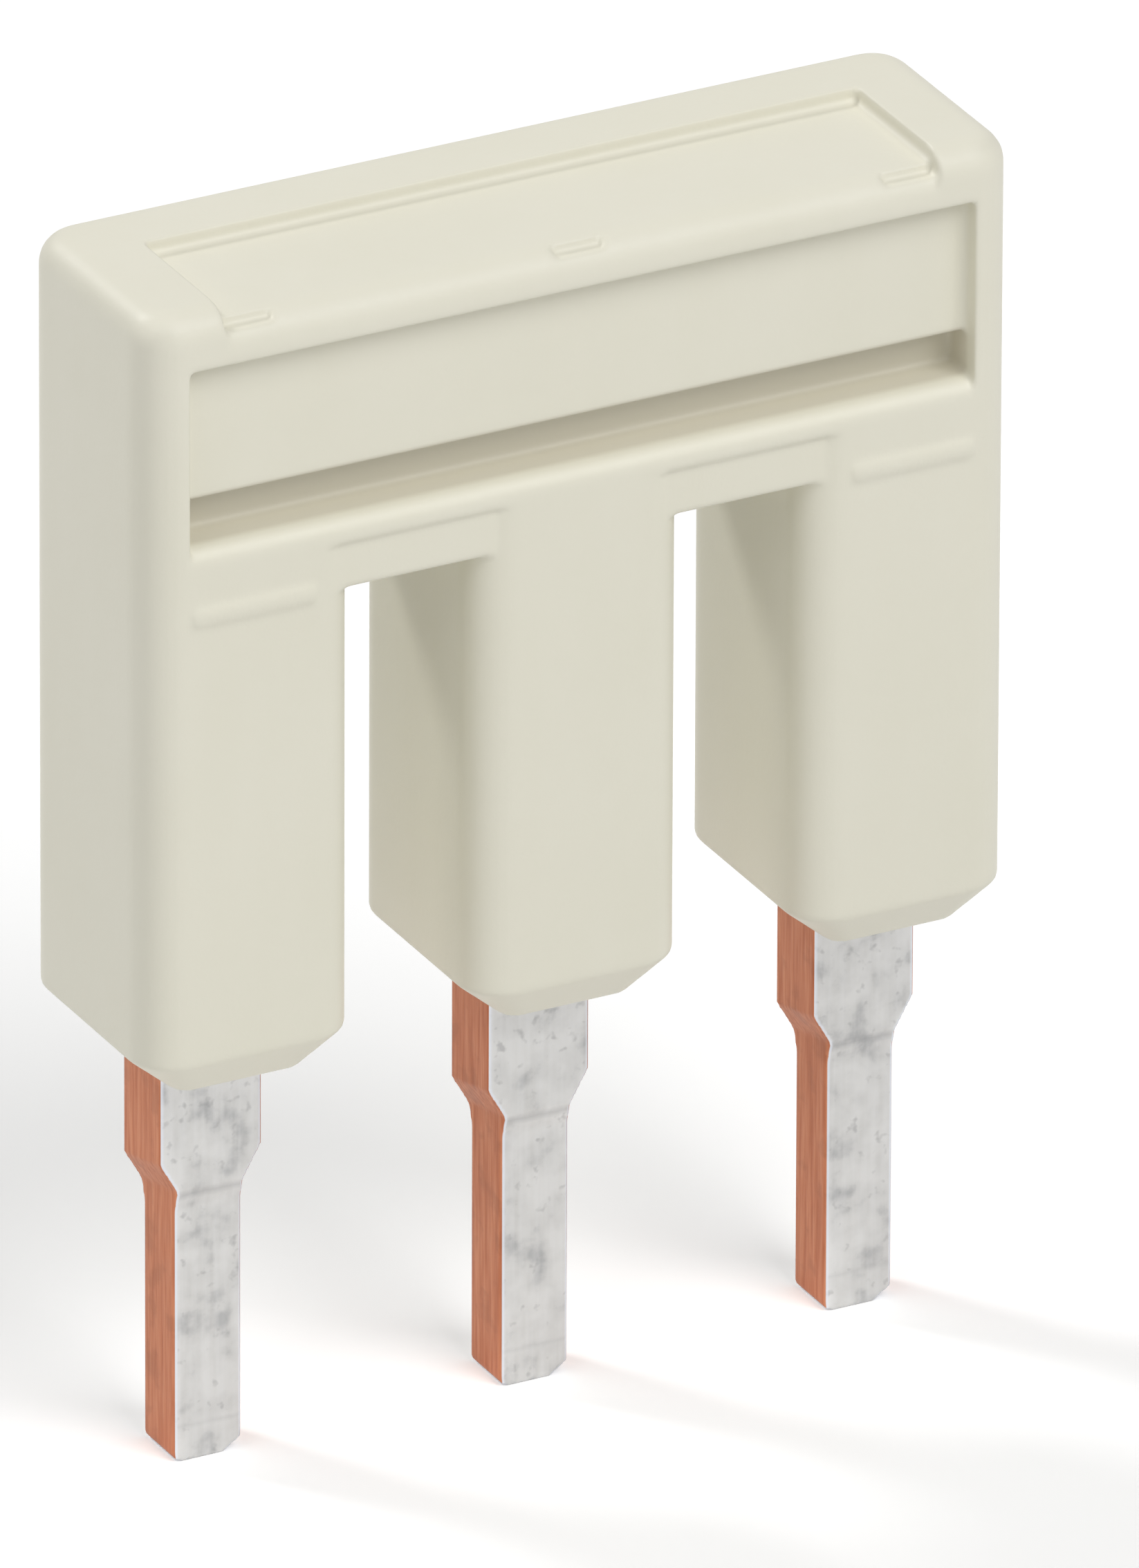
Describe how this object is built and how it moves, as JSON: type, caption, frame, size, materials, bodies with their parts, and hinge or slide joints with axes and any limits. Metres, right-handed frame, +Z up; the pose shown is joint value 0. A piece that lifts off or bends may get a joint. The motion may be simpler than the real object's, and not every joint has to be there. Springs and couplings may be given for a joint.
{
  "type": "terminal block jumper bar",
  "caption": "Insulated plug-in jumper bar: a moulded comb-shaped housing with a marking field and a pull-out groove, round a one-piece stamped contact comb with flat blades.",
  "frame": {"origin": "midway between the outer blades, level with the blade tips, on the mid plane of the contact strip", "axes": "+X along the bar from the first pole to the last, +Y from the grooved front face to the plain back, +Z up from the blade tips to the marking field"},
  "size_m": [0.0138, 0.0039, 0.0186],
  "materials": {
    "housing": "fine satin moulded surface, light ivory grey",
    "contact": "dull tin plating on the broad faces, bare copper on the sheared edges"
  },
  "bodies": {
    "root": {"housing": "housing", "contact_comb": "contact"}
  },
  "joints": []
}
